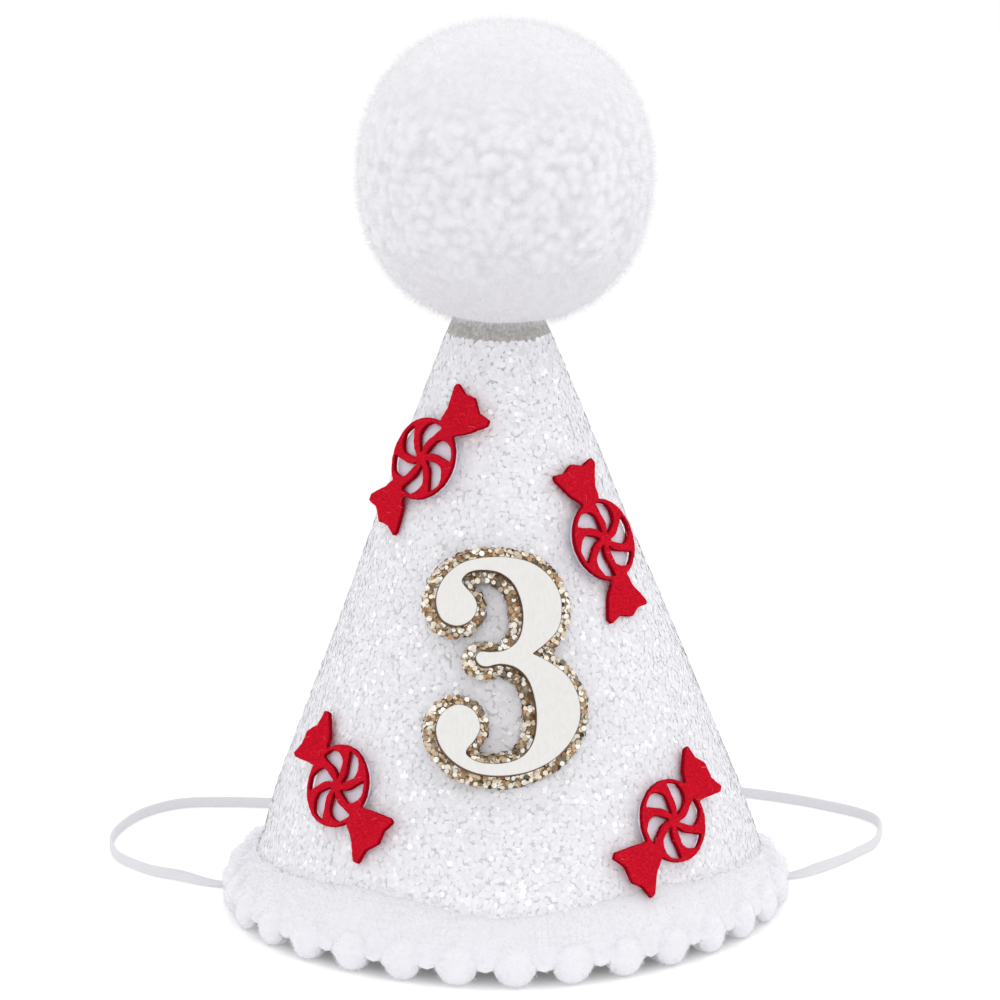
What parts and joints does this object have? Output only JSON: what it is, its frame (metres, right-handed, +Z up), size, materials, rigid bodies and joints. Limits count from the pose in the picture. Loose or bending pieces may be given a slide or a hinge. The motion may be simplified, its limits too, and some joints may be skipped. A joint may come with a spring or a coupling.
{
  "type": "party hat",
  "caption": "Small glitter cone party hat with a yarn pompom on top, ball fringe round the rim, a wooden numeral on glitter backing, felt candies and a chin elastic.",
  "frame": {"origin": "middle of the rim, on the surface that the hat stands on", "axes": "+Z up along the cone, -Y to the front that carries the numeral, +X to the right seen from the front"},
  "size_m": [0.1447, 0.1126, 0.1583],
  "materials": {
    "glitter_cloth": "stiff cloth covered in chunky off-white glitter flakes",
    "yarn": "cut white yarn, soft and matt",
    "fringe": "fluffy white woven tape and balls",
    "gold_glitter": "chunky champagne, gold and copper glitter flakes",
    "painted_wood": "thin off-white paint on laser-cut wood with burnt edges",
    "red_felt": "matt red felt with a fibrous nap",
    "white_felt": "smooth white felt with a lavender cast",
    "elastic": "flat white woven elastic"
  },
  "bodies": {
    "root": {"cone_shell": "glitter_cloth", "pompom": "yarn", "trim_tape": "fringe", "ball_01": "fringe", "ball_02": "fringe", "ball_03": "fringe", "ball_04": "fringe", "ball_05": "fringe", "ball_06": "fringe", "ball_07": "fringe", "ball_08": "fringe", "ball_09": "fringe", "ball_10": "fringe", "ball_11": "fringe", "ball_12": "fringe", "ball_13": "fringe", "ball_14": "fringe", "ball_15": "fringe", "ball_16": "fringe", "ball_17": "fringe", "ball_18": "fringe", "ball_19": "fringe", "ball_20": "fringe", "ball_21": "fringe", "ball_22": "fringe", "ball_23": "fringe", "ball_24": "fringe", "ball_25": "fringe", "ball_26": "fringe", "ball_27": "fringe", "ball_28": "fringe", "ball_29": "fringe", "ball_30": "fringe", "ball_31": "fringe", "ball_32": "fringe", "numeral_backing": "gold_glitter", "numeral_face": "painted_wood", "candy_1_felt": "red_felt", "candy_1_disc": "white_felt", "candy_2_felt": "red_felt", "candy_2_disc": "white_felt", "candy_3_felt": "red_felt", "candy_3_disc": "white_felt", "candy_4_felt": "red_felt", "candy_4_disc": "white_felt", "chin_elastic": "elastic"}
  },
  "joints": []
}
